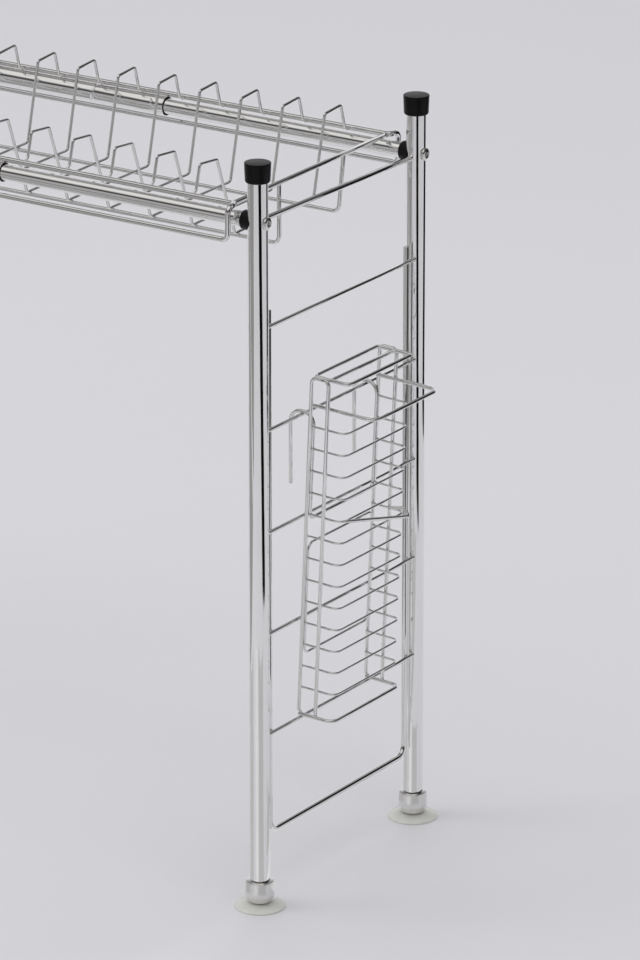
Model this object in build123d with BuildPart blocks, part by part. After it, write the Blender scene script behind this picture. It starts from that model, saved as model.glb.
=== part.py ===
from build123d import *
import math
import os

# Extendable two-post dish drying rack. Millimetres, +Z up.
# Origin: bottom centre of the whole rack. +X runs along the rails toward the
# knife-holder end, +Y runs from the front rail to the rear rail.

# ---- main frame ----
post_spacing_y = 175.5      # front post axis to rear post axis
post_spacing_x = 612.0      # right posts to left posts, at the working width
post_dia = 12.7
post_wall = 0.8
rail_z = 444.7              # rail axis above the worktop
post_bottom_z = 18.0
post_top_z = 478.6
cap_bottom_z = 469.8
cap_top_z = 482.1
cap_top_r = 8.2
cap_bottom_r = 7.75
cup_r = 16.1
weld_gap = 0.02

# ---- knife holder, local frame: u outward, v rearward, w down ----
holder_out = 13.0           # top inner corner, outward from the right post axis
holder_tilt = math.radians(2.6)
holder_w = 76.0             # along v
holder_u = 24.6             # thin loops, along u
holder_leg_u = 12.3
holder_depth = 221.7
thick_dia = 2.5
thin_dia = 1.5
thin_first = 32.3
thin_pitch = 14.35
thin_count = 13
ring_u = 45.0
ring_depth = 18.6
ring_reach = (holder_out + ring_u * math.cos(holder_tilt) - ring_depth * math.sin(holder_tilt)
              + thick_dia / 2)

x_right = (post_spacing_x + cup_r + ring_reach) / 2 - ring_reach
x_left = x_right - post_spacing_x
y_front = -post_spacing_y / 2
y_rear = post_spacing_y / 2
post_r = post_dia / 2

# ---- end ladders ----
top_bar_dia = 3.4
top_bar_front_z = rail_z + 0.2
top_bar_rear_z = rail_z - 2.1
ladder_dia = 3.6
ladder_inset = 10.9         # ladder leg axis from the post axis
ladder_top_z = rail_z - 58.0
ladder_bottom_z = rail_z - 398.6
ladder_bend = 8.0
rung_dia = 2.4
rung_x = ladder_dia / 2 + rung_dia / 2 + weld_gap
rung_top_z = rail_z - 67.4
rung_pitch = 66.0
rung_count = 5

# ---- telescoping rails, X distances measured inward from the post axis ----
outer_rail_r = 6.35
outer_bore_r = 5.85
inner_rail_r = 5.0
inner_bore_r = 4.3
washer_r = 6.1
washer_end = 10.0
plug_length = 9.0
screw_r = 2.0
screw_hole_r = 2.05
inner_rail_end = 413.0
mouth_from_right = 188.0    # outer rail mouth, from the right post axis
groove_from_mouth = 54.5
groove_depth = 0.55
groove_half = 1.6
bush_length = 14.0
glide_length = 3.0

# ---- feet ----
collar_r = 9.0
collar_step_r = 7.6
collar_step_z = 7.1
collar_bottom_z = 3.7
collar_top_z = post_bottom_z - 0.3
stem_r = 2.5
thread_bore_r = 2.55
insert_length = 13.0

# ---- basket ----
rod_dia = 3.6
rod_z = rail_z + outer_rail_r + rod_dia / 2 + 0.3
side_rod_out = 8.8
side_rod_z = rail_z - 12.0
basket_right = x_right - 15.8
rear_shift = 3.0            # rear loop and rod sit this much further left
basket_length = 409.5
basket_mid = basket_right - basket_length / 2
loop_bend = 4.2
end_bar_dia = 3.2
end_bar_in = 2.4            # end bar behind the end of the side loop
end_bar_z = rail_z + 8.4
basket_x0 = basket_right - end_bar_in
basket_x1 = basket_right - basket_length + end_bar_in
floor_rod_dia = 2.7
floor_rod_in = 51.2         # from the post plane
floor_rod_front_z = rail_z - 30.1
floor_rod_rear_z = rail_z - 29.5
floor_rod_bend = 5.0
floor_rod_lean = 3.5        # foot of each upright, inward from its top
divider_dia = 1.9
divider_count = 12
divider_first = x_right - 49.1
divider_pitch = 31.3
divider_bends = [1.6, 2.2, 2.2, 2.4, 3.2, 2.2, 2.2, 1.6]
divider_rest = floor_rod_dia / 2 + divider_dia / 2 + weld_gap

holder_x = x_right + holder_out
holder_y = y_front + 39.0
holder_z = rail_z - 106.7


def save(part, label):
    """Write one finished piece as its own STEP file."""
    part.label = label
    export_step(part, f"parts/{label}.step")


def wire(points, dia, bend=0.0):
    """A round wire along straight runs joined by tangent arcs."""
    with BuildPart() as rod:
        with BuildLine() as path:
            if len(points) > 2:
                FilletPolyline(*points, radius=bend)
            else:
                Line(*points)
        with BuildSketch(Plane(origin=path.line @ 0, z_dir=path.line % 0)):
            Circle(dia / 2)
        sweep()
    return rod.part


def turned(points, origin, axis=(0, 0, 1)):
    """A turned piece: (radius, height) profile spun about an axis."""
    plane = Plane(origin=origin, z_dir=axis)
    side = Plane(origin=origin, x_dir=plane.x_dir, z_dir=-plane.y_dir)
    with BuildPart() as body:
        with BuildSketch(side):
            with BuildLine():
                Polyline(*points, close=True)
            make_face()
        revolve(axis=Axis(origin, axis))
    return body.part


def hp(u, v, w):
    """Point of the knife holder's own tilted frame."""
    s, c = math.sin(holder_tilt), math.cos(holder_tilt)
    return (holder_x + u * c - w * s, holder_y + v, holder_z - u * s - w * c)


def post(x, y):
    with BuildPart() as tube:
        with BuildSketch(Plane.XY.offset(post_bottom_z)):
            with Locations((x, y)):
                Circle(post_r)
                Circle(post_r - post_wall, mode=Mode.SUBTRACT)
        extrude(amount=post_top_z - post_bottom_z)
        with BuildSketch(Plane.YZ.offset(x)):
            with Locations((y, rail_z)):
                Circle(screw_hole_r + 0.1)
        extrude(amount=post_r + 1, both=True, mode=Mode.SUBTRACT)
    return tube.part


def post_caps(x):
    h = cap_top_z - cap_bottom_z
    seat = post_top_z - cap_bottom_z + weld_gap
    with BuildPart() as caps:
        for y in (y_front, y_rear):
            add(turned([(post_r + weld_gap, 0), (cap_bottom_r - 0.8, 0), (cap_bottom_r, 0.9),
                        (cap_top_r, h - 0.4), (cap_top_r - 0.4, h), (0, h),
                        (0, seat), (post_r + weld_gap, seat)], (x, y, cap_bottom_z)))
    return caps.part


def top_bar(x):
    reach = post_r + weld_gap
    return wire([(x, y_front + reach, top_bar_front_z), (x, y_rear - reach, top_bar_rear_z)],
                top_bar_dia)


def ladder_frame(x):
    yf = y_front + ladder_inset
    yr = y_rear - ladder_inset
    return wire([(x, yf, ladder_top_z), (x, yf, ladder_bottom_z), (x, yr, ladder_bottom_z),
                 (x, yr, ladder_top_z)], ladder_dia, ladder_bend)


def rungs(x, side):
    reach = math.sqrt(post_r ** 2 - (rung_x - rung_dia / 2) ** 2) + weld_gap
    xr = x + side * rung_x
    with BuildPart() as group:
        for i in range(rung_count):
            z = rung_top_z - i * rung_pitch
            add(wire([(xr, y_front + reach, z), (xr, y_rear - reach, z)], rung_dia))
    return group.part


def rail_washers(x, side):
    """Plastic spacers with a saddle that sits on the round post."""
    with BuildPart() as group:
        for y in (y_front, y_rear):
            add(turned([(screw_hole_r + 0.1, 4.0), (washer_r - 0.6, 4.0), (washer_r, 4.6),
                        (washer_r, washer_end - 0.8), (washer_r - 0.8, washer_end),
                        (screw_hole_r + 0.1, washer_end)], (x, y, rail_z), (-side, 0, 0)))
        with BuildSketch(Plane.XY.offset(rail_z - 10)):
            with Locations((x, y_front), (x, y_rear)):
                Circle(post_r + weld_gap)
        extrude(amount=20, mode=Mode.SUBTRACT)
    return group.part


def rail_plugs(x, side, bore_r):
    """Plugs inside the post end of the rails, that the screws bite into."""
    a = washer_end + weld_gap
    b = a + plug_length
    r = bore_r - weld_gap
    with BuildPart() as group:
        for y in (y_front, y_rear):
            add(turned([(screw_hole_r, a), (r, a), (r, b), (screw_hole_r, b)],
                       (x, y, rail_z), (-side, 0, 0)))
    return group.part


def rail_screws(x, side, length):
    """Pan-head screws through the posts into the rail ends."""
    head = post_r + weld_gap
    with BuildPart() as group:
        for y in (y_front, y_rear):
            add(turned([(0, -length), (screw_r, -length), (screw_r, head), (4.1, head),
                        (4.1, head + 0.6), (3.5, head + 1.3), (2.5, head + 1.7), (1.3, head + 1.8),
                        (1.1, head + 0.6), (0, head + 0.4)], (x, y, rail_z), (side, 0, 0)))
    return group.part


def inner_rail(y):
    a = washer_end + weld_gap
    return turned([(inner_bore_r, a), (inner_rail_r, a), (inner_rail_r, inner_rail_end),
                   (inner_bore_r, inner_rail_end)], (x_right, y, rail_z), (-1, 0, 0))


def outer_rail(y):
    """Outer tube with a rolled groove that stops the inner rail's glide."""
    a = washer_end + weld_gap
    b = post_spacing_x - mouth_from_right
    g = b - groove_from_mouth
    h = groove_half
    ro, ri, d = outer_rail_r, outer_bore_r, groove_depth
    return turned([(ri, a), (ro, a), (ro, g - h), (ro - d, g - h / 3), (ro - d, g + h / 3),
                   (ro, g + h), (ro, b - 0.4), (ro - 0.3, b), (ri, b), (ri, g + h), (ri - d, g + h / 3),
                   (ri - d, g - h / 3), (ri, g - h)], (x_left, y, rail_z), (1, 0, 0))


def mouth_bushes():
    """Plastic sleeves in the mouths of the outer rails."""
    bore = inner_rail_r + 0.07
    r = outer_bore_r - weld_gap
    b = post_spacing_x - mouth_from_right - 0.3
    with BuildPart() as group:
        for y in (y_front, y_rear):
            add(turned([(bore, b - bush_length), (r, b - bush_length), (r, b), (bore, b)],
                       (x_left, y, rail_z), (1, 0, 0)))
    return group.part


def rail_glides():
    """Stop rings on the hidden ends of the inner rails."""
    r = outer_bore_r - 0.07
    bore = inner_rail_r + weld_gap
    with BuildPart() as group:
        for y in (y_front, y_rear):
            add(turned([(bore, inner_rail_end - glide_length), (r, inner_rail_end - glide_length),
                        (r, inner_rail_end), (bore, inner_rail_end)],
                       (x_right, y, rail_z), (-1, 0, 0)))
    return group.part


def foot_inserts(x):
    r = post_r - post_wall - weld_gap
    with BuildPart() as group:
        for y in (y_front, y_rear):
            add(turned([(thread_bore_r, 0), (r, 0), (r, insert_length), (thread_bore_r, insert_length)],
                       (x, y, post_bottom_z)))
    return group.part


def foot_collar(x, y):
    h = collar_top_z - collar_bottom_z
    step = collar_step_z - collar_bottom_z
    r, rs = collar_r, collar_step_r
    return turned([(thread_bore_r, 0), (rs - 0.8, 0), (rs, 0.8), (rs, step), (r - 0.4, step),
                   (r, step + 0.4), (r, h - 0.4), (r - 0.4, h), (thread_bore_r, h)],
                  (x, y, collar_bottom_z))


def foot_stem(x, y):
    top = post_bottom_z + insert_length - 1.0
    return turned([(0, 1.6), (4.2, 1.6), (4.2, 2.4), (stem_r, 2.4), (stem_r, top - 0.6),
                   (stem_r - 0.6, top), (0, top)], (x, y, 0))


def foot_cup(x, y):
    bore = stem_r + weld_gap
    return turned([(0, 0.8), (8.0, 0.75), (12.6, 0.5), (14.9, 0), (cup_r, 0), (cup_r, 0.8),
                   (14.6, 1.6), (11.6, 2.6), (8.6, 3.3), (bore, 3.4), (bore, 2.42),
                   (4.22, 2.42), (4.22, 1.58), (0, 1.58)], (x, y, 0))


def side_loop(y, out):
    """Long closed wire: top rod on the rail, lower rod outside it, arched ends."""
    yo = y + out * side_rod_out
    shift = rear_shift if out > 0 else 0
    mid, end = basket_mid - shift, basket_right - shift
    half = [(mid, y, rod_z), (end, y, rod_z), (end, yo, rod_z), (end, yo, side_rod_z),
            (mid, yo, side_rod_z)]
    with BuildPart() as loop:
        add(wire(half, rod_dia, loop_bend))
        mirror(about=Plane.YZ.offset(mid))
    return loop.part


def end_bar_at(x, y):
    """Point on the centreline of a slightly skewed end bar."""
    return (x - rear_shift * (y - y_front) / post_spacing_y, y, end_bar_z)


def basket_end_bars():
    """Cross bars between the two top rods, one at each end."""
    reach = rod_dia / 2 + 0.05
    with BuildPart() as group:
        for x in (basket_x0, basket_x1):
            add(wire([end_bar_at(x, y_front + reach), end_bar_at(x, y_rear - reach)], end_bar_dia))
    return group.part


def floor_rods():
    """Two rods under the basket, turned up to the end bars."""
    top = end_bar_z - end_bar_dia / 2 - 0.1
    rows = ((y_front + floor_rod_in, floor_rod_front_z, 0.0),
            (y_rear - floor_rod_in, floor_rod_rear_z, floor_rod_lean))
    with BuildPart() as group:
        for y, z, lean in rows:
            xa, xb = end_bar_at(basket_x0, y)[0], end_bar_at(basket_x1, y)[0]
            add(wire([(xa, y, top), (xa - lean, y, z), (xb + lean, y, z), (xb, y, top)],
                     floor_rod_dia, floor_rod_bend))
    return group.part


def plate_divider(x):
    """Bent wire: humps over both rods and a dip to the basket floor."""
    foot = rod_dia / 2 + divider_dia / 2 + weld_gap
    hump = [(foot, 8.0), (6.2, 10.4), (10.4, 25.4), (28.5, 24.0)]
    front = hump + [(47.5, floor_rod_front_z + divider_rest - rail_z)]
    rear = hump + [(41.0, floor_rod_rear_z + divider_rest - rail_z)]
    points = [(x, y_front + y, rail_z + z) for y, z in front]
    points += [(x, y_rear - y, rail_z + z) for y, z in reversed(rear)]
    return wire(points, divider_dia, divider_bends)


def holder_end_hoops():
    """Inverted-U end wires, front and rear, each with two long legs."""
    end = holder_depth - thick_dia - weld_gap
    with BuildPart() as group:
        for v in (0.0, holder_w):
            add(wire([hp(0, v, end), hp(0, v, 0), hp(holder_leg_u, v, 0), hp(holder_leg_u, v, end)],
                     thick_dia, 3.4))
    return group.part


def holder_rim():
    """Closed top rectangle with the rod that parts the two compartments."""
    v0 = thick_dia + weld_gap
    mid = holder_w / 2
    half = [hp(0, mid, 0), hp(0, v0, 0), hp(holder_u + 0.6, v0, 0), hp(holder_u + 0.6, mid, 0)]
    cross = thick_dia / 2 + v0 + weld_gap
    with BuildPart() as rim:
        add(wire(half, thick_dia, 3.4))
        mirror(about=Plane.XZ.offset(-(holder_y + mid)))
        add(wire([hp(holder_leg_u, cross, 0), hp(holder_leg_u, holder_w - cross, 0)], thick_dia))
    return rim.part


def holder_bottom_loop():
    return wire([hp(0, 0, holder_depth), hp(holder_u + 0.6, 0, holder_depth),
                 hp(holder_u + 0.6, holder_w, holder_depth), hp(0, holder_w, holder_depth)],
                thick_dia, 6.0)


def holder_thin_loops():
    """Thin U-shaped wires round the outer face, one above the other."""
    v0 = thick_dia / 2 + thin_dia / 2 + weld_gap
    with BuildPart() as group:
        for i in range(thin_count):
            w = thin_first + i * thin_pitch
            start = 0.0 if i in (5, 11, 12) else 2.25
            add(wire([hp(start, v0, w), hp(holder_u, v0, w), hp(holder_u, holder_w - v0, w),
                      hp(start, holder_w - v0, w)], thin_dia, 5.2))
    return group.part


def holder_hanger():
    """One wire: hooks over a rung at both ends and runs under the rim, plus
    the rounded square loop that stiffens the ladder side."""
    v0, v1 = 2.42, holder_w - 2.42
    apex = rail_z - 130.65
    leg_x = x_right - 4.3
    leg_z = rail_z - 179.0
    down = hp(0.9, v0, 24.0)[0]
    points = [(leg_x, holder_y + v0, leg_z), (leg_x, holder_y + v0, apex),
              (down, holder_y + v0, apex), hp(0.9, v0, 92.5), hp(0.9, v1, 92.5),
              (down, holder_y + v1, apex), (leg_x, holder_y + v1, apex),
              (leg_x, holder_y + v1, leg_z)]
    mid = holder_w / 2
    a, b, q = 109.0, 182.0, 2.02
    half = [hp(0.9, mid, a), hp(0.9, q, a), hp(0.9, q, b), hp(0.9, mid, b)]
    with BuildPart() as loop:
        add(wire(half, 1.8, 5.0))
        mirror(about=Plane.XZ.offset(-(holder_y + mid)))
    with BuildPart() as hanger:
        add(wire(points, thick_dia, [7.6, 7.6, 4.0, 4.0, 7.6, 7.6]))
        add(loop.part)
    return hanger.part


def scissors_rings():
    """Wide upper ring and the small lower finger for the scissors' blades."""
    v0 = thick_dia + weld_gap
    ring = wire([hp(0, v0, ring_depth), hp(ring_u, v0, ring_depth),
                 hp(ring_u, holder_w - v0, ring_depth), hp(0, holder_w - v0, ring_depth)],
                thick_dia, 6.5)
    finger = wire([hp(26.5, 3.5, 88.6), hp(37.6, 58.3, 99.1), hp(33.4, 58.3, 94.6),
                   hp(26.5, 53.6, 94.6), hp(26.5, 53.6, 104.0)], 2.2, 1.6)
    with BuildPart() as group:
        add(ring)
        add(finger)
    return group.part


os.makedirs("parts", exist_ok=True)

for side_name, x, side in (("right", x_right, 1), ("left", x_left, -1)):
    save(post(x, y_front), f"{side_name}_front_post")
    save(post(x, y_rear), f"{side_name}_rear_post")
    save(post_caps(x), f"{side_name}_post_caps")
    save(top_bar(x), f"{side_name}_top_bar")
    save(ladder_frame(x), f"{side_name}_ladder_frame")
    save(rungs(x, side), f"{side_name}_rungs")
    save(rail_washers(x, side), f"{side_name}_rail_washers")
    save(foot_inserts(x), f"{side_name}_foot_inserts")
    for end_name, y in (("front", y_front), ("rear", y_rear)):
        save(foot_collar(x, y), f"{side_name}_{end_name}_collar")
        save(foot_stem(x, y), f"{side_name}_{end_name}_stem")
        save(foot_cup(x, y), f"{side_name}_{end_name}_cup")

save(rail_screws(x_right, 1, washer_end + 6), "right_rail_screws")
save(rail_screws(x_left, -1, washer_end + 6), "left_rail_screws")
save(rail_plugs(x_right, 1, inner_bore_r), "right_rail_plugs")
save(rail_plugs(x_left, -1, outer_bore_r), "left_rail_plugs")
save(mouth_bushes(), "outer_rail_bushes")
save(rail_glides(), "inner_rail_glides")

for end_name, y, out in (("front", y_front, -1), ("rear", y_rear, 1)):
    save(inner_rail(y), f"{end_name}_inner_rail")
    save(outer_rail(y), f"{end_name}_outer_rail")
    save(side_loop(y, out), f"{end_name}_side_loop")

save(basket_end_bars(), "basket_end_bars")
save(floor_rods(), "floor_rods")
for i in range(divider_count):
    save(plate_divider(divider_first - i * divider_pitch), f"plate_divider_{i + 1:02d}")

save(holder_end_hoops(), "holder_end_hoops")
save(holder_rim(), "holder_rim")
save(holder_bottom_loop(), "holder_bottom_loop")
save(holder_thin_loops(), "holder_thin_loops")
save(holder_hanger(), "holder_hanger")
save(scissors_rings(), "scissors_rings")
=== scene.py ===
import bpy
import bmesh
import math
from mathutils import Vector, Matrix, noise


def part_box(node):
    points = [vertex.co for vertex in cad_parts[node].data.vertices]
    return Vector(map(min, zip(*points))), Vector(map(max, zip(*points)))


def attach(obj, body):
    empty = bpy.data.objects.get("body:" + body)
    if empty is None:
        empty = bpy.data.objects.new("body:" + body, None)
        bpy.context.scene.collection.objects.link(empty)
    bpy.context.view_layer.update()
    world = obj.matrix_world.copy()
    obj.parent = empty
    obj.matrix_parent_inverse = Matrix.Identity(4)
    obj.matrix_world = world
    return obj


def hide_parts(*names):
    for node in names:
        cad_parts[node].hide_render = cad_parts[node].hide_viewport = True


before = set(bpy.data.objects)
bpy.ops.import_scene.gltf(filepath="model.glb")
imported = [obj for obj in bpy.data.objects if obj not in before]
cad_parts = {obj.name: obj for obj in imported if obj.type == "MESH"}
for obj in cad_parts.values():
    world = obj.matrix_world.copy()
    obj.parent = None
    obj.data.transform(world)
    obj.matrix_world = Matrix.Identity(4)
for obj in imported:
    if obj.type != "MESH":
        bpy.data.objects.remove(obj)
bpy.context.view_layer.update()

MM = 0.001

# ------------------------------------------------------------------ sizes, mm
post_spacing_y = 175.5
post_spacing_x = 612.0
post_r = 6.35
post_wall = 0.8
gap = 0.02                      # between parts that touch
running_gap = 0.07              # between parts that slide
rail_z = 444.7
post_bottom_z = 18.0
post_top_z = 478.6
cap_bottom_z = 469.8
x_right = (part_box("right_front_post")[0][0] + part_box("right_front_post")[1][0]) / 2 / MM
x_left = x_right - post_spacing_x
y_front = -post_spacing_y / 2
y_rear = post_spacing_y / 2
ends = (("front", y_front), ("rear", y_rear))

rail_start = 10.02              # from the post axis, at the washer's face
inner_rail_r = 5.0
inner_bore_r = 4.3
inner_rail_end = 413.0
outer_bore_r = 5.85
washer_seat = 4.0               # height in the washer's outline that lies on the post
mouth = post_spacing_x - 188.0  # of the outer rails, from the left posts
groove_from_mouth = 54.5
groove_half = 1.6
groove_depth = 0.55
bush_length = 14.0
bush_inset = 0.3
glide_length = 3.0
plug_length = 9.0

knob_top_z = 2.4                # of the foot stem, where its ridges start
ridge_count = 26                # 1 mm apart
top_bar_dia = 3.4
top_bar_rise = (0.2, -2.1)      # front and rear end, over the rail height
ladder_dia = 3.6
ladder_bend = 8.0
ladder_inset = 10.9
ladder_top_z = rail_z - 58.0
ladder_bottom_z = rail_z - 398.6
rung_dia = 2.4
rung_x = 3.02
rung_inset = 6.0
rung_pitch = 66.0
rung_count = 5
rung_top_z = rail_z - 67.4
rung_z = [rung_top_z - i * rung_pitch for i in range(rung_count)]

rod_dia = 3.6
side_loop_bend = 4.2
rod_z = rail_z + 8.45
side_rod_out = 8.8
side_rod_z = rail_z - 12.0
basket_right = x_right - 15.8
rear_shift = 3.0
basket_length = 409.5
basket_left = basket_right - basket_length
end_bar_dia = 3.2
end_bar_z = rail_z + 8.4
end_bar_in = 2.4
basket_x0 = basket_right - end_bar_in
basket_x1 = basket_left + end_bar_in
floor_rod_in = 51.2
rod_front_z = rail_z - 30.1
rod_rear_z = rail_z - 29.5
rear_lean = 3.5
floor_rod_dia = 2.7
floor_rod_bend = 5.0
divider_dia = 1.9
divider_pitch = 31.3
divider_count = 12
divider_first = x_right - 49.1
divider_x = [divider_first - i * divider_pitch for i in range(divider_count)]
divider_rest = 2.32             # centreline over the floor rods' own
divider_bends = [1.6, 2.2, 2.2, 2.4, 3.2, 2.2, 2.2, 1.6]

# in the holder, u runs outward, v rearward and w down
holder_x = x_right + 13.0
holder_y = y_front + 39.0
holder_z = rail_z - 106.7
holder_tilt = math.radians(2.6)
holder_w = 76.0
holder_u = 24.6
holder_leg_u = 12.3
holder_depth = 221.7
thick = 2.5                     # wire diameters
thin = 1.5
hoop_bend = 3.4
bottom_bend = 6.0
thin_bend = 5.2
thin_first = 32.3
thin_pitch = 14.35
thin_count = 13
thin_start_u = 2.1
full_loops = (5, 11, 12)        # these start at the inner side, u = 0
thin_depths = [thin_first + thin_pitch * i for i in range(thin_count)]
rim_u = holder_u + 0.6
rim_v = thick + gap             # rim and rings run inside the two hoops
hook_v = 2.42
hook_u = 0.9
apex_z = rail_z - 130.65
hook_leg_x = x_right - 4.3
hook_leg_z = rail_z - 179.0
hook_foot_w = 92.5
hook_bends = [7.6, 7.6, 4.0, 4.0, 7.6, 7.6]
lower_loop_v = 2.02
lower_loop_w = (109.0, 182.0)
lower_loop_dia = 1.8
lower_loop_bend = 5.0
ring_w = 18.6
ring_reach = 45.0
ring_bend = 6.5
finger_dia = 2.2
finger_bend = 1.6

view_azimuth = 33.499           # degrees
view_elevation = 19.433
view_distance = 3.9603          # metres
camera_right = (0.834, 0.552, -0.35)    # and a little down


# ------------------------------------------------------------------ materials
def node_mat(name):
    """A new material, its node tree and its main shader."""
    mat = bpy.data.materials.new(name)
    mat.use_nodes = True
    nt = mat.node_tree
    return mat, nt, nt.nodes["Principled BSDF"]


def wire_up(nt, kind, inputs=None, **props):
    """A new node with its properties set. An input is a value or another node's output."""
    node = nt.nodes.new(kind)
    for key, value in props.items():
        setattr(node, key, value)
    for key, value in (inputs or {}).items():
        if isinstance(value, bpy.types.NodeSocket):
            nt.links.new(value, node.inputs[key])
        else:
            node.inputs[key].default_value = value
    return node


def ramp(nt, fac, stops):
    """Colour ramp through (position, grey or colour) stops."""
    node = nt.nodes.new("ShaderNodeValToRGB")
    nt.links.new(fac, node.inputs[0])
    marks = node.color_ramp.elements
    for i, (place, shade) in enumerate(stops):
        mark = marks[i] if i < len(marks) else marks.new(place)
        mark.position = place
        mark.color = (*shade, 1) if isinstance(shade, tuple) else (shade, shade, shade, 1)
    return node.outputs[0]


def lines_along(nt, scale_round, scale_along):
    """Coordinate round and along a piece, stretched so that noise turns into lines."""
    uv = wire_up(nt, "ShaderNodeUVMap", uv_map="along")
    lines = wire_up(nt, "ShaderNodeMapping",
                    {"Vector": uv.outputs[0], "Scale": (scale_round, scale_along, 1)})
    return lines.outputs[0]


def in_space(nt):
    """Coordinate in metres that is fixed to the piece."""
    return wire_up(nt, "ShaderNodeTexCoord").outputs["Object"]


def clouds(nt, place, scale, detail, roughness=0.5):
    """Noise over a coordinate."""
    made = wire_up(nt, "ShaderNodeTexNoise", {"Vector": place, "Scale": scale, "Detail": detail,
                                              "Roughness": roughness})
    return made.outputs["Fac"]


def set_tint(nt, bsdf, fac, stops):
    nt.links.new(ramp(nt, fac, stops), bsdf.inputs["Base Color"])


def set_gloss(nt, bsdf, fac, lo, hi, start=0.0, end=1.0):
    """Roughness from lo to hi as a value goes from start to end."""
    spread = wire_up(nt, "ShaderNodeMapRange", {"Value": fac, "From Min": start, "From Max": end,
                                                "To Min": lo, "To Max": hi})
    nt.links.new(spread.outputs[0], bsdf.inputs["Roughness"])


def set_relief(nt, bsdf, fac, strength, distance):
    """Fine bumps. distance is their height in metres."""
    bumps = wire_up(nt, "ShaderNodeBump", {"Height": fac, "Strength": strength, "Distance": distance})
    nt.links.new(bumps.outputs[0], bsdf.inputs["Normal"])


def polished(name, color, rough_lo, rough_hi, line_scale, relief):
    """Polished steel: drawing lines along the piece, faint smears and a varying gloss."""
    mat, nt, bsdf = node_mat(name)
    drawn = clouds(nt, lines_along(nt, line_scale, 9), 1.0, 4.0)
    smear = clouds(nt, in_space(nt), 38.0, 3.0, 0.6)
    both = wire_up(nt, "ShaderNodeMath", {0: drawn, 1: smear}, operation="MULTIPLY")
    set_gloss(nt, bsdf, both.outputs[0], rough_lo, rough_hi, 0.12, 0.42)
    set_tint(nt, bsdf, smear, [(0.3, tuple(c * 0.955 for c in color)), (0.7, color)])
    set_relief(nt, bsdf, drawn, relief, 0.0001)
    bsdf.inputs["Metallic"].default_value = 1.0
    return mat


def moulded(name, color, rough, grain):
    """Moulded plastic: fine spark-eroded grain, scuffs and a slightly worn colour."""
    mat, nt, bsdf = node_mat(name)
    place = in_space(nt)
    fine = clouds(nt, place, 1900.0, 2.0)
    worn = clouds(nt, place, 120.0, 4.0)
    set_tint(nt, bsdf, worn, [(0.35, color), (0.75, tuple(c * 1.6 + 0.001 for c in color))])
    set_gloss(nt, bsdf, worn, rough - 0.08, rough + 0.12)
    set_relief(nt, bsdf, fine, grain, 0.00005)
    bsdf.inputs["Specular IOR Level"].default_value = 0.14
    return mat


def turned_metal(name, color):
    """Turned steel: concentric tool lines."""
    mat, nt, bsdf = node_mat(name)
    cut = clouds(nt, lines_along(nt, 6, 3400), 1.0, 2.0)
    set_gloss(nt, bsdf, cut, 0.14, 0.28)
    set_tint(nt, bsdf, cut, [(0.3, tuple(c * 0.92 for c in color)), (0.7, color)])
    set_relief(nt, bsdf, cut, 0.14, 0.00004)
    bsdf.inputs["Metallic"].default_value = 1.0
    return mat


def clear_vinyl(name):
    """Soft clear vinyl with a little haze, a warm tint and flow ripples."""
    mat, nt, bsdf = node_mat(name)
    haze = clouds(nt, in_space(nt), 160.0, 3.0)
    set_gloss(nt, bsdf, haze, 0.08, 0.3)
    set_tint(nt, bsdf, haze, [(0.3, (0.84, 0.85, 0.79)), (0.7, (0.92, 0.92, 0.88))])
    set_relief(nt, bsdf, haze, 0.1, 0.0002)
    bsdf.inputs["Alpha"].default_value = 0.6
    bsdf.inputs["IOR"].default_value = 1.4
    return mat


TUBE = polished("polished_tube", (0.94, 0.935, 0.93), 0.03, 0.08, 220, 0.05)
WIRE = polished("polished_wire", (0.87, 0.865, 0.86), 0.025, 0.07, 60, 0.04)
TURNED = turned_metal("turned_steel", (0.84, 0.83, 0.82))
BLACK = moulded("black_plastic", (0.0035, 0.0035, 0.0037), 0.3, 0.08)
NYLON = moulded("black_nylon", (0.006, 0.006, 0.006), 0.42, 0.12)
VINYL = clear_vinyl("clear_cup")


# ------------------------------------------------------------------ mesh makers
def along_layer(bm):
    """The texture layer that runs round and along each piece."""
    return bm.loops.layers.uv.get("along") or bm.loops.layers.uv.new("along")


def rounded(points, bend, per_arc=10):
    """Straight runs joined by tangent arcs. bend is one radius or one per corner."""
    pts = [Vector(p) for p in points]
    radii = bend if isinstance(bend, (list, tuple)) else [bend] * (len(pts) - 2)
    out = [pts[0]]
    for a, b, c, r in zip(pts, pts[1:], pts[2:], radii):
        u, v = (a - b).normalized(), (c - b).normalized()
        angle = u.angle(v)
        if r <= 0 or angle > math.pi - 1e-4:
            out.append(b)
            continue
        reach = r / math.tan(angle / 2)
        centre = b + (u + v).normalized() * (r / math.sin(angle / 2))
        p, q = b + u * reach - centre, b + v * reach - centre
        turn = p.angle(q)
        axis = p.cross(q).normalized()
        for i in range(per_arc + 1):
            out.append(centre + Matrix.Rotation(turn * i / per_arc, 3, axis) @ p)
    out.append(pts[-1])
    return out


def frames_along(path, closed=False):
    """Centre, side and up vectors carried along a path without twist."""
    n = len(path)
    tangents = []
    for i in range(n):
        a = path[(i - 1) % n] if closed or i else path[0]
        b = path[(i + 1) % n] if closed or i < n - 1 else path[-1]
        tangents.append((b - a).normalized())
    t = tangents[0]
    side = t.orthogonal().normalized()
    result = []
    for i, t2 in enumerate(tangents):
        side = (t.rotation_difference(t2) @ side)
        side = (side - t2 * side.dot(t2)).normalized()
        result.append((path[i], side, t2.cross(side), t2))
        t = t2
    return result


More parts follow.
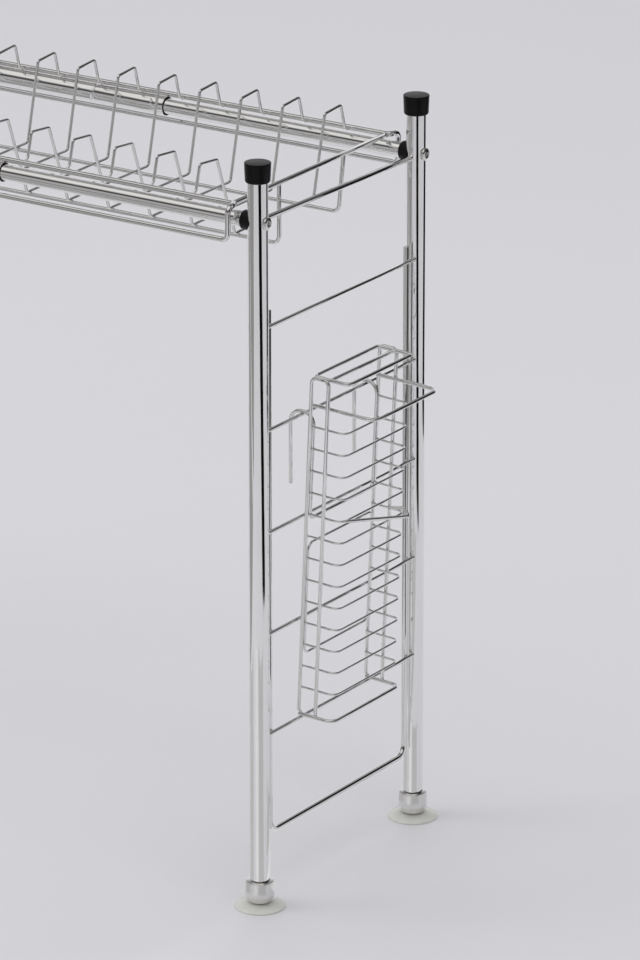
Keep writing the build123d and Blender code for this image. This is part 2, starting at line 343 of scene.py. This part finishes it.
def stations_along(path, r, closed):
    """Centre, side, up and size of each ring of a wire. Open ends are eased."""
    spans = frames_along(path, closed)
    if closed:
        return [(p, s, u, 1.0) for p, s, u, t in spans]
    eased = ((0.0, 0.72), (0.1, 0.88), (0.3, 1.0))
    p, s, u, t = spans[0]
    start = [(p + t * r * back, s, u, size) for back, size in eased]
    middle = [(p, s, u, 1.0) for p, s, u, t in spans[1:-1]]
    p, s, u, t = spans[-1]
    finish = [(p - t * r * back, s, u, size) for back, size in reversed(eased)]
    return start + middle + finish


def tube(bm, path, dia, sides, closed=False):
    """Adds one round wire to a bmesh, in millimetres."""
    uv = along_layer(bm)
    r = dia / 2
    rings = []
    run = 0.0
    last = None
    for p, s, u, k in stations_along(path, r, closed):
        run += (p - last).length if last is not None else 0.0
        last = p
        ring = [bm.verts.new((p + (s * math.cos(a) + u * math.sin(a)) * r * k) * MM)
                for a in (2 * math.pi * i / sides for i in range(sides))]
        rings.append((ring, run * MM))
    pairs = list(zip(rings, rings[1:]))
    if closed:
        pairs.append((rings[-1], (rings[0][0], rings[-1][1] + 0.001)))
    for (ra, va), (rb, vb) in pairs:
        for i in range(sides):
            j = (i + 1) % sides
            f = bm.faces.new((ra[i], ra[j], rb[j], rb[i]))
            f.smooth = True
            for loop, c in zip(f.loops, ((i, va), (i + 1, va), (i + 1, vb), (i, vb))):
                loop[uv].uv = (c[0] / sides, c[1])
    if not closed:
        for ring in (list(reversed(rings[0][0])), rings[-1][0]):
            bm.faces.new(ring)


def eased_profile(profile, ease):
    """Rounds the corners of a turned profile by about ease."""
    corners = [Vector((r, h, 0)) for r, h in profile]
    points = []
    for a, b, c in zip(corners[-1:] + corners[:-1], corners, corners[1:] + corners[:1]):
        room = min((a - b).length, (c - b).length) * 0.45
        d1, d2 = (a - b).normalized(), (c - b).normalized()
        if b.x < 1e-6 or d1.angle(d2) > 2.9:
            points.append(b)
            continue
        reach = min(room, ease)
        for k in range(4):
            s = k / 3
            points.append(b + d1 * reach * (1 - s) ** 2 + d2 * reach * s ** 2)
    return [(p.x, p.y) for p in points]


def seat_height(r, a, h):
    """Height at which a washer meets the round side of a post. Its edge stays a little eased."""
    side = math.sqrt(max((post_r + gap) ** 2 - (r * math.cos(a)) ** 2, 0.0))
    return side + (h - washer_seat) * 0.1


def skin(bm, uv, rings, profile, segments):
    """Faces between the rings of a turned part. A ring of one point makes a fan."""
    run = 0.0
    for ra, rb, p, q in zip(rings, rings[1:] + rings[:1], profile, profile[1:] + profile[:1]):
        length = math.hypot(p[0] - q[0], p[1] - q[1]) * MM
        if len(ra) == 1 and len(rb) == 1:
            continue
        for i in range(segments):
            j = (i + 1) % segments
            corners = [(ra[i % len(ra)], i, run), (ra[j % len(ra)], i + 1, run),
                       (rb[j % len(rb)], i + 1, run + length), (rb[i % len(rb)], i, run + length)]
            seen, use = set(), []
            for c in corners:
                if c[0] not in seen:
                    seen.add(c[0])
                    use.append(c)
            f = bm.faces.new([c[0] for c in use])
            f.smooth = True
            for loop, c in zip(f.loops, use):
                loop[uv].uv = (c[1] / segments, c[2])
        run += length


def lathe(bm, profile, origin, axis=(0, 0, 1), segments=64, saddle=0.0, ease=0.0):
    """Spins (radius, height) points about an axis. Points lower than saddle are fitted
    to the post that crosses the origin."""
    uv = along_layer(bm)
    if ease:
        profile = eased_profile(profile, ease)
    z = Vector(axis).normalized()
    x = Vector((0, 1, 0)) if abs(z.x) > 0.5 else Vector((1, 0, 0))
    y = z.cross(x)
    rings = []
    for r, h in profile:
        if r < 1e-6:
            rings.append([bm.verts.new((Vector(origin) + z * h) * MM)])
            continue
        ring = []
        for i in range(segments):
            a = 2 * math.pi * i / segments
            lift = seat_height(r, a, h) if saddle and h < saddle else h
            ring.append(bm.verts.new((Vector(origin) + x * r * math.cos(a) + y * r * math.sin(a)
                                      + z * lift) * MM))
        rings.append(ring)
    skin(bm, uv, rings, profile, segments)


def bead(bm, at, size, seed):
    """A small resistance-weld nugget: a lumpy flattened drop."""
    uv = along_layer(bm)
    made = bmesh.ops.create_icosphere(bm, subdivisions=2, radius=1.0)
    for v in made["verts"]:
        lump = 1.0 + 0.16 * noise.noise(v.co * 2.3 + Vector((seed * 3.7, seed * 1.3, 0)))
        v.co = (Vector(at) + Vector((v.co.x * size[0], v.co.y * size[1], v.co.z * size[2])) * lump) * MM
    for f in {f for v in made["verts"] for f in v.link_faces}:
        f.smooth = True
        for loop in f.loops:
            loop[uv].uv = (loop.vert.co.x * 40, loop.vert.co.z)


def mesh_object(name, bm):
    """Turns a bmesh into an object of the scene."""
    mesh = bpy.data.meshes.new(name)
    bm.to_mesh(mesh)
    bm.free()
    ob = bpy.data.objects.new(name, mesh)
    bpy.context.scene.collection.objects.link(ob)
    return ob


def piece(name, bm, mat, body, nodes=(), sharp=34):
    """Finishes a bmesh as an object that rides on a body and stands for CAD nodes."""
    bmesh.ops.recalc_face_normals(bm, faces=bm.faces)
    ob = mesh_object(name, bm)
    ob.data.set_sharp_from_angle(angle=math.radians(sharp))
    ob.data.materials.append(mat)
    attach(ob, body)
    if nodes:
        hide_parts(*nodes)
    return ob


def lathe_pair(name, profile, x, z, axis, mat, body, slot, nodes, **options):
    """The same turned part at the front and at the rear, as one piece."""
    bm = bmesh.new()
    for y in (y_front, y_rear):
        lathe(bm, profile, (x, y, z), axis, **options)
    return piece(name, bm, mat, body, nodes)


def wires(name, runs, body, nodes):
    """runs: (points, diameter, bend) of each wire in one piece."""
    bm = bmesh.new()
    for points, dia, bend in runs:
        tube(bm, rounded(points, bend), dia, sides=20 if dia > 2 else 14)
    return piece(name, bm, WIRE, body, nodes)


def wire_ring(name, corners, dia, bend, extra, body, nodes):
    """A closed wire through its corners, with open wires beside it."""
    bm = bmesh.new()
    start = (Vector(corners[0]) + Vector(corners[-1])) / 2
    path = rounded([start] + list(corners) + [start], bend)
    tube(bm, path[:-1], dia, sides=20, closed=True)
    for points, wire_dia, bends in extra:
        tube(bm, rounded(points, bends), wire_dia, sides=20)
    return piece(name, bm, WIRE, body, nodes)


def weld_beads(name, spots, body):
    """spots: (place, size, seed) of each weld nugget."""
    bm = bmesh.new()
    for at, size, seed in spots:
        bead(bm, at, size, seed)
    return piece(name, bm, WIRE, body, sharp=60)


# ------------------------------------------------------------------ end frames
def posts_and_caps(side_name, x, body):
    """The two tubes and the two caps of one end. The caps widen upward."""
    for end_name, y in ends:
        bm = bmesh.new()
        lathe(bm, [(post_r - post_wall, post_bottom_z), (post_r - 0.25, post_bottom_z),
                   (post_r, post_bottom_z + 0.3), (post_r, post_top_z),
                   (post_r - post_wall, post_top_z)], (x, y, 0), segments=96)
        piece(f"{side_name}_{end_name}_post_tube", bm, TUBE, body,
              [f"{side_name}_{end_name}_post"])
    profile = [(post_r + gap, 0), (6.9, 0), (7.3, 0.15), (7.6, 0.5), (7.76, 1.1), (8.16, 11.3),
               (8.2, 11.75), (8.1, 12.05), (7.8, 12.2), (7.4, 12.25), (0, 12.3), (0, 8.82),
               (post_r + gap, 8.82)]
    lathe_pair(f"{side_name}_cap_pair", profile, x, cap_bottom_z, (0, 0, 1), BLACK, body,
               "black_plastic", [f"{side_name}_post_caps"], segments=96)


def cross_wires(side_name, x, side, body):
    """Top bar, ladder wire and rungs between the two posts of one end."""
    reach = post_r + gap - 0.5
    bar = [(x, y_front + reach, rail_z + top_bar_rise[0]),
           (x, y_rear - reach, rail_z + top_bar_rise[1])]
    wires(f"{side_name}_top_cross_bar", [(bar, top_bar_dia, 0)], body, [f"{side_name}_top_bar"])
    yf, yr = y_front + ladder_inset, y_rear - ladder_inset
    ladder = [(x, yf, ladder_top_z), (x, yf, ladder_bottom_z), (x, yr, ladder_bottom_z),
              (x, yr, ladder_top_z)]
    wires(f"{side_name}_ladder_wire", [(ladder, ladder_dia, ladder_bend)], body,
          [f"{side_name}_ladder_frame"])
    xr = x + side * rung_x
    runs = [([(xr, y_front + rung_inset, z), (xr, y_rear - rung_inset, z)], rung_dia, 0) for z in rung_z]
    wires(f"{side_name}_rung_wires", runs, body, [f"{side_name}_rungs"])


def ladder_welds(side_name, x, side, body):
    """Nuggets where the rungs cross the ladder wire and meet the posts, and at the top bar."""
    spots = []
    for i, z in enumerate(rung_z):
        for k, y in enumerate((y_front + ladder_inset, y_rear - ladder_inset)):
            spots.append(((x + side * 1.75, y, z), (0.7, 1.3, 1.15), i + k * 7))
        for k, y in enumerate((y_front + 6.1, y_rear - 6.1)):
            spots.append(((x + side * rung_x, y, z), (1.3, 0.8, 1.35), i + k * 9 + 20))
    for k, y in enumerate((y_front + 6.5, y_rear - 6.5)):
        spots.append(((x, y, rail_z + top_bar_rise[k]), (1.9, 0.7, 1.9), k + 40))
    weld_beads(f"{side_name}_ladder_welds", spots, body)


def rail_fixings(side_name, x, side, body):
    """Washers and screws at the rails, and the threaded inserts in the post ends."""
    washer = [(2.1, 3.8), (5.5, 3.8), (5.9, 4.0), (6.1, 4.4), (6.1, 9.2), (5.8, 9.8), (5.3, 10.0),
              (2.1, 10.0)]
    lathe_pair(f"{side_name}_washer_pair", washer, x, rail_z, (-side, 0, 0), NYLON, body,
               "black_plastic", [f"{side_name}_rail_washers"], saddle=5.0)
    head = post_r + gap
    screw = [(0, 3.0), (2.0, 3.0), (2.0, head), (3.95, head), (4.08, head + 0.12), (4.1, head + 0.5),
             (3.95, head + 0.9), (3.5, head + 1.3), (2.9, head + 1.58), (2.2, head + 1.74),
             (1.45, head + 1.8), (1.25, head + 1.7), (1.1, head + 0.6), (0, head + 0.4)]
    lathe_pair(f"{side_name}_screw_pair", screw, x, rail_z, (side, 0, 0), TURNED, body,
               "turned_steel", [f"{side_name}_rail_screws"])
    insert = [(2.55, 0), (5.53, 0), (5.53, 13), (2.55, 13)]
    lathe_pair(f"{side_name}_insert_pair", insert, x, post_bottom_z, (0, 0, 1), TURNED, body,
               "turned_steel", [f"{side_name}_foot_inserts"], ease=0.3)


def collar(tag, x, y):
    """Turned adjuster collar with a wider upper part."""
    bm = bmesh.new()
    lathe(bm, [(2.55, 3.7), (6.6, 3.7), (7.1, 3.85), (7.45, 4.2), (7.6, 4.7), (7.6, 6.8), (7.7, 7.05),
               (8.5, 7.1), (8.85, 7.2), (9.0, 7.5), (9.0, 17.2), (8.9, 17.55), (8.6, 17.7), (2.55, 17.7)],
          (x, y, 0), segments=96)
    piece(f"{tag}_turned_collar", bm, TURNED, f"{tag}_adjuster", [f"{tag}_collar"])


def threaded_stem(tag, x, y):
    """Stem with ridges that stand for its thread, and a knob that sits in the cup."""
    profile = [(0, 1.6), (4.2, 1.6), (4.2, knob_top_z), (2.5, knob_top_z)]
    for ridge in range(ridge_count):
        z = knob_top_z + ridge
        profile += [(2.5, z + 0.35), (2.2, z + 0.62), (2.5, z + 0.9)]
    profile += [(2.5, 29.4), (1.9, 30.0), (0, 30.0)]
    bm = bmesh.new()
    lathe(bm, profile, (x, y, 0), segments=40)
    piece(f"{tag}_threaded_stem", bm, TURNED, f"{tag}_foot", [f"{tag}_stem"])


def vinyl_cup(tag, x, y):
    """Flat suction cup, hollow where the stem's knob sits."""
    bm = bmesh.new()
    lathe(bm, [(0, 0.8), (8.0, 0.75), (12.6, 0.5), (14.2, 0.25), (14.9, 0.02), (15.5, 0), (16.0, 0.15),
               (16.1, 0.45), (15.95, 0.8), (15.3, 1.25), (13.6, 1.9), (11.6, 2.55), (9.8, 3.0),
               (8.6, 3.25), (7.0, 3.4), (2.52, 3.4), (2.52, 2.42), (4.22, 2.42), (4.22, 1.58), (0, 1.58)],
          (x, y, 0), segments=96)
    piece(f"{tag}_vinyl_cup", bm, VINYL, f"{tag}_foot", [f"{tag}_cup"], sharp=50)


def end_frame(side_name, x, side):
    """One end: side is 1 where outward is +X."""
    body = f"{side_name}_end_frame"
    posts_and_caps(side_name, x, body)
    cross_wires(side_name, x, side, body)
    ladder_welds(side_name, x, side, body)
    rail_fixings(side_name, x, side, body)
    for end_name, y in ends:
        tag = f"{side_name}_{end_name}"
        collar(tag, x, y)
        threaded_stem(tag, x, y)
        vinyl_cup(tag, x, y)


# ------------------------------------------------------------------ rails
def inner_rail(end_name, y):
    bm = bmesh.new()
    lathe(bm, [(inner_bore_r, rail_start), (inner_rail_r - 0.1, rail_start),
               (inner_rail_r, rail_start + 0.1), (inner_rail_r, inner_rail_end),
               (inner_bore_r, inner_rail_end)], (x_right, y, rail_z), (-1, 0, 0), segments=80)
    piece(f"{end_name}_inner_tube", bm, TUBE, "right_end_frame",
          [f"{end_name}_inner_rail"])


def outer_rail(end_name, y):
    """Tube with a rolled stop groove and a rounded mouth."""
    groove = mouth - groove_from_mouth
    dip = []
    for k in range(-6, 7):
        sink = groove_depth * 0.5 * (1 + math.cos(math.pi * k / 6))
        dip.append((post_r - sink, groove + groove_half * k / 6))
    outside = [(post_r, rail_start)] + dip
    outside += [(post_r, mouth - 0.4), (post_r - 0.09, mouth - 0.15), (post_r - 0.28, mouth)]
    wall = post_r - outer_bore_r
    inside = [(outer_bore_r, mouth)] + [(r - wall, h) for r, h in reversed(dip)]
    inside += [(outer_bore_r, rail_start)]
    bm = bmesh.new()
    lathe(bm, outside + inside, (x_left, y, rail_z), (1, 0, 0), segments=96)
    piece(f"{end_name}_outer_tube", bm, TUBE, "left_end_frame",
          [f"{end_name}_outer_rail"])


def rail_plastics():
    """Plugs in the fixed rail ends, bushes in the mouths and glides on the inner rails."""
    for side_name, x, side, r in (("right", x_right, 1, inner_bore_r - gap),
                                  ("left", x_left, -1, outer_bore_r - gap)):
        end = rail_start + plug_length
        plug = [(2.05, rail_start), (r, rail_start), (r, end), (2.05, end)]
        lathe_pair(f"{side_name}_plug_pair", plug, x, rail_z, (-side, 0, 0), NYLON,
                   f"{side_name}_end_frame", "black_nylon", [f"{side_name}_rail_plugs"], ease=0.25)
    bush_out = mouth - bush_inset
    bush_in = bush_out - bush_length
    r0, r1 = inner_rail_r + running_gap, outer_bore_r - gap
    bush = [(r0, bush_in), (r1, bush_in), (r1, bush_out), (r0, bush_out)]
    lathe_pair("mouth_bush_pair", bush, x_left, rail_z, (1, 0, 0), NYLON, "left_end_frame",
               "black_nylon", ["outer_rail_bushes"], segments=80)
    glide_start = inner_rail_end - glide_length
    r0, r1 = inner_rail_r + gap, outer_bore_r - running_gap
    glide = [(r0, glide_start), (r1, glide_start), (r1, inner_rail_end), (r0, inner_rail_end)]
    lathe_pair("glide_pair", glide, x_right, rail_z, (-1, 0, 0), NYLON, "right_end_frame",
               "black_nylon", ["inner_rail_glides"], ease=0.25)


# ------------------------------------------------------------------ basket
def end_bar_at(x, y):
    """Point on the centreline of a slightly skewed end bar."""
    return (x - rear_shift * (y - y_front) / post_spacing_y, y, end_bar_z)


def side_loops():
    """The long closed wire at each side, over and outside its rail."""
    for (end_name, y), out, shift in zip(ends, (-1, 1), (0, rear_shift)):
        yo = y + out * side_rod_out
        xa, xb = basket_right - shift, basket_left - shift
        corners = [(xa, y, rod_z), (xa, yo, rod_z), (xa, yo, side_rod_z),
                   (xb, yo, side_rod_z), (xb, yo, rod_z), (xb, y, rod_z)]
        wire_ring(f"{end_name}_side_wire", corners, rod_dia, side_loop_bend, [], "dish_basket",
                  [f"{end_name}_side_loop"])


def basket_frame():
    """Cross bars at both ends and the two rods under the floor."""
    reach = rod_dia / 2 - 0.3
    bars = [([end_bar_at(x, y_front + reach), end_bar_at(x, y_rear - reach)], end_bar_dia, 0)
            for x in (basket_x0, basket_x1)]
    wires("basket_cross_bars", bars, "dish_basket", ["basket_end_bars"])
    top = end_bar_z - end_bar_dia / 2 + 0.3
    runs = []
    rows = ((y_front + floor_rod_in, rod_front_z, 0.0), (y_rear - floor_rod_in, rod_rear_z, rear_lean))
    for y, z, lean in rows:
        xa, xb = end_bar_at(basket_x0, y)[0], end_bar_at(basket_x1, y)[0]
        runs.append(([(xa, y, top), (xa - lean, y, z), (xb + lean, y, z), (xb, y, top)],
                     floor_rod_dia, floor_rod_bend))
    wires("basket_floor_wires", runs, "dish_basket", ["floor_rods"])


def dividers():
    """Each divider: a hump at the front, a dip over the floor rods, a hump at the rear."""
    hump = [(rod_dia / 2 + divider_dia / 2, 8.0), (6.2, 10.4), (10.4, 25.4), (28.5, 24.0)]
    front_side = hump + [(47.5, rod_front_z + divider_rest - rail_z)]
    rear_side = hump + [(41.0, rod_rear_z + divider_rest - rail_z)]
    for i, x in enumerate(divider_x):
        points = [(x, y_front + y, rail_z + z) for y, z in front_side]
        points += [(x, y_rear - y, rail_z + z) for y, z in reversed(rear_side)]
        wires(f"plate_wire_{i + 1:02d}", [(points, divider_dia, divider_bends)], "dish_basket",
              [f"plate_divider_{i + 1:02d}"])


def basket_welds():
    """Nuggets at the dividers' feet, on the floor rods and at the end bars."""
    spots = []
    for i, x in enumerate(divider_x):
        for k, (y, s, z) in enumerate(((y_front, 1, rod_front_z), (y_rear, -1, rod_rear_z))):
            spots.append(((x, y + s * 1.9, rod_z - 0.5), (1.15, 0.75, 1.1), i * 5 + k))
            spots.append(((x, y + s * floor_rod_in, z + 1.35), (1.05, 1.1, 0.5), i * 5 + k + 70))
    for n, x in enumerate((basket_x0, basket_x1)):
        for k, (y, s) in enumerate(((y_front, 1), (y_rear, -1))):
            spots.append((end_bar_at(x, y + s * 1.9), (1.9, 0.9, 1.9), k + 200 + n))
            under = Vector(end_bar_at(x, y + s * floor_rod_in)) - Vector((0, 0, 1.6))
            spots.append((under, (1.6, 1.6, 0.6), k + 230 + n))
    weld_beads("basket_weld_beads", spots, "dish_basket")


# ------------------------------------------------------------------ knife holder
def on_holder(u, v, w):
    """Point of the tilted holder, from its top inner front corner."""
    s, c = math.sin(holder_tilt), math.cos(holder_tilt)
    return (holder_x + u * c - w * s, holder_y + v, holder_z - u * s - w * c)


def across_holder(u0, u1, v, w):
    """Corners of a wire that runs out, across and back at one depth."""
    return [on_holder(u0, v, w), on_holder(u1, v, w), on_holder(u1, holder_w - v, w),
            on_holder(u0, holder_w - v, w)]


def holder_body():
    """End hoops, rim with its parting rod, bottom loop and the thin wires round the face."""
    end = holder_depth - thick + 0.4
    hoops = [([on_holder(0, v, end), on_holder(0, v, 0), on_holder(holder_leg_u, v, 0),
               on_holder(holder_leg_u, v, end)], thick, hoop_bend) for v in (0.0, holder_w)]
    wires("holder_hoop_wires", hoops, "knife_holder", ["holder_end_hoops"])
    cross = rim_v + 1.0
    parting = [on_holder(holder_leg_u, cross, 0), on_holder(holder_leg_u, holder_w - cross, 0)]
    wire_ring("holder_rim_wires", across_holder(0, rim_u, rim_v, 0), thick, hoop_bend,
              [(parting, thick, 0)], "knife_holder", ["holder_rim"])
    wires("holder_bottom_wire", [(across_holder(0, rim_u, 0, holder_depth), thick, bottom_bend)],
          "knife_holder", ["holder_bottom_loop"])
    runs = []
    thin_v = thick / 2 + thin / 2
    for i, w in enumerate(thin_depths):
        start = 0.0 if i in full_loops else thin_start_u
        runs.append((across_holder(start, holder_u, thin_v, w), thin, thin_bend))
    wires("holder_side_wires", runs, "knife_holder", ["holder_thin_loops"])


def holder_hooks():
    """One wire with both hooks, and the rounded loop below it."""
    down_x = on_holder(hook_u, hook_v, 24.0)[0]
    v0, v1 = hook_v, holder_w - hook_v
    y0, y1 = holder_y + v0, holder_y + v1
    hook = [(hook_leg_x, y0, hook_leg_z), (hook_leg_x, y0, apex_z), (down_x, y0, apex_z),
            on_holder(hook_u, v0, hook_foot_w), on_holder(hook_u, v1, hook_foot_w),
            (down_x, y1, apex_z), (hook_leg_x, y1, apex_z), (hook_leg_x, y1, hook_leg_z)]
    v0, v1 = lower_loop_v, holder_w - lower_loop_v
    top, bottom = lower_loop_w
    loop = [on_holder(hook_u, v0, top), on_holder(hook_u, v0, bottom), on_holder(hook_u, v1, bottom),
            on_holder(hook_u, v1, top)]
    wire_ring("holder_hook_wires", loop, lower_loop_dia, lower_loop_bend, [(hook, thick, hook_bends)],
              "knife_holder", ["holder_hanger"])


def scissors_rings():
    """The wide upper ring and the small lower finger."""
    ring = across_holder(0, ring_reach, rim_v, ring_w)
    finger = [on_holder(26.5, 3.5, 88.6), on_holder(37.6, 58.3, 99.1), on_holder(33.4, 58.3, 94.6),
              on_holder(26.5, 53.6, 94.6), on_holder(26.5, 53.6, 104.0)]
    wires("scissors_ring_wires", [(ring, thick, ring_bend), (finger, finger_dia, finger_bend)],
          "knife_holder", ["scissors_rings"])


def holder_welds():
    """Nuggets along the legs, at the ring and at the bottom loop."""
    spots = []
    for i, w in enumerate(thin_depths):
        for k, v in enumerate((1.2, holder_w - 1.2)):
            spots.append((on_holder(holder_leg_u, v, w), (0.9, 0.6, 0.8), i * 3 + k))
            spots.append((on_holder(1.4, v, w), (0.8, 0.6, 0.8), i * 3 + k + 50))
    for k, v in enumerate((1.3, holder_w - 1.3)):
        for u in (1.2, holder_leg_u):
            spots.append((on_holder(u, v, ring_w), (1.0, 0.6, 1.0), k + u + 90))
            foot = on_holder(u, k * holder_w, holder_depth - 1.5)
            spots.append((foot, (1.35, 1.35, 0.6), k + u + 95))
    weld_beads("holder_weld_beads", spots, "knife_holder")


# ------------------------------------------------------------------ floor, light, camera
def floor():
    """Pale paper that fades into the background."""
    bm = bmesh.new()
    bmesh.ops.create_grid(bm, x_segments=1, y_segments=1, size=30)
    ob = mesh_object("floor", bm)
    mat, nt, bsdf = node_mat("floor_paper")
    mottle = clouds(nt, in_space(nt), 1.2, 2.0)
    set_tint(nt, bsdf, mottle, [(0.2, (0.70, 0.70, 0.725)), (0.8, (0.72, 0.72, 0.745))])
    bsdf.inputs["Roughness"].default_value = 0.55
    bsdf.inputs["Specular IOR Level"].default_value = 0.25
    ob.data.materials.append(mat)


def softbox(name, at, aim, size, power, color=(1, 1, 1)):
    """Soft light that does not show in polished metal. Metres and watts."""
    data = bpy.data.lights.new(name, "AREA")
    data.shape = "RECTANGLE"
    data.size, data.size_y = size
    data.energy = power
    data.color = color
    ob = bpy.data.objects.new(name, data)
    bpy.context.scene.collection.objects.link(ob)
    ob.location = at
    ob.rotation_euler = (Vector(aim) - Vector(at)).to_track_quat("-Z", "Y").to_euler()
    ob.visible_glossy = False


def card(name, corners, shade):
    """A studio card that only shows as a tone in polished metal. Corners in metres."""
    bm = bmesh.new()
    bm.faces.new([bm.verts.new(c) for c in corners])
    ob = mesh_object(name, bm)
    mat, nt, bsdf = node_mat(name)
    nt.nodes.remove(bsdf)
    glow = wire_up(nt, "ShaderNodeEmission", {"Color": (*shade, 1), "Strength": 1.0})
    nt.links.new(glow.outputs[0], nt.nodes["Material Output"].inputs["Surface"])
    ob.data.materials.append(mat)
    for ray in ("camera", "diffuse", "shadow", "transmission", "volume_scatter"):
        setattr(ob, f"visible_{ray}", False)


def around(bearing, height, reach, y=y_front):
    """Point at a bearing from a right post: 0 toward the camera, positive to its right."""
    a = math.radians(view_azimuth - 90 + bearing)
    return (x_right * MM + reach * math.cos(a), y * MM + reach * math.sin(a), height)


def sheet(name, y, height, bearings, reaches, shade):
    """Paper lying in front of a right post, between two bearings and two reaches."""
    (near, far), (b0, b1) = reaches, bearings
    card(name, [around(b0, height, near, y), around(b1, height, near, y), around(b1, height, far, y),
                around(b0, height, far, y)], (shade, shade, shade * 1.01))


def reflection_cards():
    """Two dark standing cards and some papers on the table, for the polished metal to show."""
    black = (0.004, 0.004, 0.004)
    stand, wall = 0.57, 0.85
    card("stand_streak", [around(38, 0, stand), around(72, 0, stand), around(34, 0.34, stand),
                          around(2, 0.34, stand)], black)
    card("right_wall", [around(106, 0.03, wall), around(136, 0.03, wall), around(136, 0.6, wall),
                        around(106, 0.6, wall)], black)
    for lift, (end_name, y), far in ((0, ends[0], 0.46), (0.002, ends[1], 0.165)):
        reaches = (0.019, far)
        sheet(f"{end_name}_bright_sheet", y, 0.003 + lift, (-44, -18), reaches, 0.72)
        sheet(f"{end_name}_grey_sheet", y, 0.004 + lift, (-8, 42), reaches, 0.47)
        sheet(f"{end_name}_side_sheet", y, 0.0045 + lift, (-130, -70), reaches, 0.5)
    card("mid_table", [(-2.5, -0.12, 0.0015), (-0.12, -0.12, 0.0015), (-0.12, -0.7, 0.0015),
                       (-2.5, -0.7, 0.0015)], (0.3, 0.298, 0.295))
    card("front_table", [(-2.5, -0.66, 0.002), (0.0, -0.82, 0.002), (0.02, -3.0, 0.002),
                         (-2.5, -3.0, 0.002)], (0.27, 0.265, 0.265))


def sky():
    """Surroundings: bright high in front and low behind, and dark to the camera's right."""
    world = bpy.data.worlds.new("studio")
    bpy.context.scene.world = world
    world.use_nodes = True
    nt = world.node_tree
    co = wire_up(nt, "ShaderNodeTexCoord")
    xyz = wire_up(nt, "ShaderNodeSeparateXYZ", {0: co.outputs["Generated"]})
    panel = (0.74, 0.73, 0.715)
    ahead = ramp(nt, xyz.outputs["Z"], [(0.0, 0.42), (0.2, 0.38), (0.30, 0.06), (0.48, 0.06),
                                        (0.58, (0.42, 0.416, 0.412)), (0.66, panel), (0.97, panel)])
    behind = ramp(nt, xyz.outputs["Z"], [(0.0, (0.86, 0.86, 0.88)), (0.36, (0.78, 0.78, 0.80)),
                                         (0.5, 0.26), (0.85, 0.2)])
    back = wire_up(nt, "ShaderNodeMapRange", {"Value": xyz.outputs["Y"], "From Min": -0.05,
                                              "From Max": 0.05})
    whole = wire_up(nt, "ShaderNodeMix", {0: back.outputs[0], 6: ahead, 7: behind}, data_type="RGBA")
    across = wire_up(nt, "ShaderNodeVectorMath", {0: co.outputs["Generated"], 1: camera_right},
                     operation="DOT_PRODUCT")
    dark = wire_up(nt, "ShaderNodeMapRange", {"Value": across.outputs["Value"], "From Min": 0.42,
                                              "From Max": 0.56, "To Min": 1.0, "To Max": 0.08})
    tone = wire_up(nt, "ShaderNodeMix", {0: 1.0, 6: whole.outputs[2], 7: dark.outputs[0]},
                   data_type="RGBA", blend_type="MULTIPLY")
    nt.links.new(tone.outputs[2], nt.nodes["Background"].inputs["Color"])
    nt.nodes["Background"].inputs["Strength"].default_value = 1.0


def camera():
    """Long lens, aimed near the middle of the right end."""
    azimuth, elevation = math.radians(view_azimuth), math.radians(view_elevation)
    forward = Vector((-math.sin(azimuth) * math.cos(elevation), math.cos(azimuth) * math.cos(elevation),
                      -math.sin(elevation)))
    target = Vector((x_right - 11.6, y_front + 85.0, rail_z - 191.2)) * MM
    cam_data = bpy.data.cameras.new("camera")
    cam = bpy.data.objects.new("camera", cam_data)
    bpy.context.scene.collection.objects.link(cam)
    cam_data.sensor_width = 36
    cam_data.lens = 239.39
    cam_data.clip_end = 100
    cam.location = target - forward * view_distance
    cam.rotation_euler = forward.to_track_quat("-Z", "Y").to_euler()
    bpy.context.scene.camera = cam


# ------------------------------------------------------------------ the whole scene
end_frame("right", x_right, 1)
end_frame("left", x_left, -1)
for end_name, y in ends:
    inner_rail(end_name, y)
    outer_rail(end_name, y)
rail_plastics()
side_loops()
basket_frame()
dividers()
basket_welds()
holder_body()
holder_hooks()
scissors_rings()
holder_welds()

floor()
softbox("top", at=(0.0, 0.6, 4.2), aim=(0.0, 0.3, 0), size=(6.0, 6.0), power=151,
        color=(0.97, 0.97, 1.0))
softbox("key", at=(-2.4, -1.8, 2.2), aim=(0.1, 0, 0.25), size=(1.6, 1.6), power=18)
reflection_cards()
sky()
camera()
bpy.context.scene.view_settings.view_transform = "Standard"
